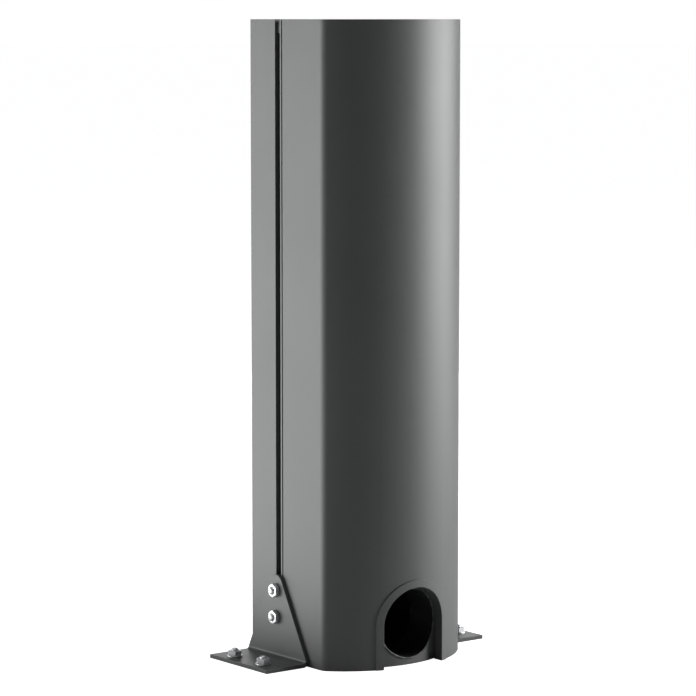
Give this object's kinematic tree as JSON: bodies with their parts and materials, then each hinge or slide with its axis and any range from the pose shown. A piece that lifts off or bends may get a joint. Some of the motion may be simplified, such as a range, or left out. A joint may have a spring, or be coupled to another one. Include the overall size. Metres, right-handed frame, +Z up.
{
  "type": "retractable bollard",
  "caption": "Gas-spring post that slides up out of a D-section casing with side slots, folded foot brackets and an arched duct port.",
  "frame": {"origin": "on the floor, in the underside of the base plate, midway between the two side slots", "axes": "+Z up along the post's travel, -Y towards the bowed front with the arch, X across the flanks"},
  "size_m": [0.288, 0.1652, 0.662],
  "materials": {
    "casing_coat": "satin anthracite powder coat on aluminium and steel",
    "guide_coat": "satin dark grey coat, inner tube",
    "trim": "dark grey edge trim",
    "duct": "dark grey pipe",
    "zinc": "bright zinc plated",
    "rubber": "black rubber",
    "guide_plastic": "black polyethylene",
    "post_coat": "satin anthracite powder coat",
    "band": "white retroreflective sheet",
    "cylinder_paint": "black gloss paint",
    "rod_chrome": "hard chrome",
    "bare_steel": "ground steel",
    "brass": "machined brass"
  },
  "bodies": {
    "casing": {"rear_profile": "casing_coat", "front_cover": "casing_coat", "arch_trim": "trim", "base_plate": "bare_steel", "guide_casing": "guide_coat", "port_spigot": "duct", "top_frame": "casing_coat", "wiper_seal": "rubber", "upper_guide": "guide_plastic", "stop_ring": "rubber", "stop_pillars": "bare_steel", "stop_buffers": "rubber", "lowered_keeper": "bare_steel", "raised_keeper": "bare_steel", "foot_bracket_left": "casing_coat", "foot_bracket_right": "casing_coat", "slot_bolts": "zinc", "slot_nuts": "zinc", "floor_studs": "zinc", "floor_washers": "zinc", "floor_nuts": "zinc", "frame_screws": "zinc", "base_screws": "zinc", "rear_screws": "zinc", "guide_spacers": "guide_plastic", "base_clevis": "bare_steel", "base_pin": "zinc", "spring_rod": "rod_chrome", "spring_piston": "bare_steel"},
    "post": {"post_tube": "post_coat", "reflective_band": "band", "post_foot": "bare_steel", "guide_shoe": "guide_plastic", "post_cap": "post_coat", "cap_screws": "zinc", "foot_screws": "zinc", "head_clevis": "bare_steel", "head_pin": "zinc", "spring_tube": "cylinder_paint", "spring_gland": "bare_steel", "lock_sleeve": "bare_steel", "rod_bush": "brass", "handle_pins": "zinc", "cover_pin": "zinc"},
    "lock": {"lock_barrel": "brass", "lock_rod": "bare_steel", "lock_cam": "bare_steel", "cam_collars": "zinc"},
    "handle": {"lift_handle": "zinc"},
    "lid": {"lock_cover": "post_coat"}
  },
  "joints": [
    {"name": "post_lift", "type": "slide", "parent": "casing", "child": "post", "axis": [0, 0, 1], "range_m": [0, 0.44]},
    {"name": "key_turn", "type": "hinge", "parent": "post", "child": "lock", "pos_m": [0, 0.008, 0.64], "axis": [0, 0, -1], "range_deg": [0, 90]},
    {"name": "handle_fold", "type": "hinge", "parent": "post", "child": "handle", "pos_m": [0, -0.03, 0.6555], "axis": [-1, 0, 0], "range_deg": [0, 90]},
    {"name": "lid_swing", "type": "hinge", "parent": "post", "child": "lid", "pos_m": [0, 0.0235, 0.6593], "axis": [-1, 0, 0], "range_deg": [0, 110]}
  ]
}
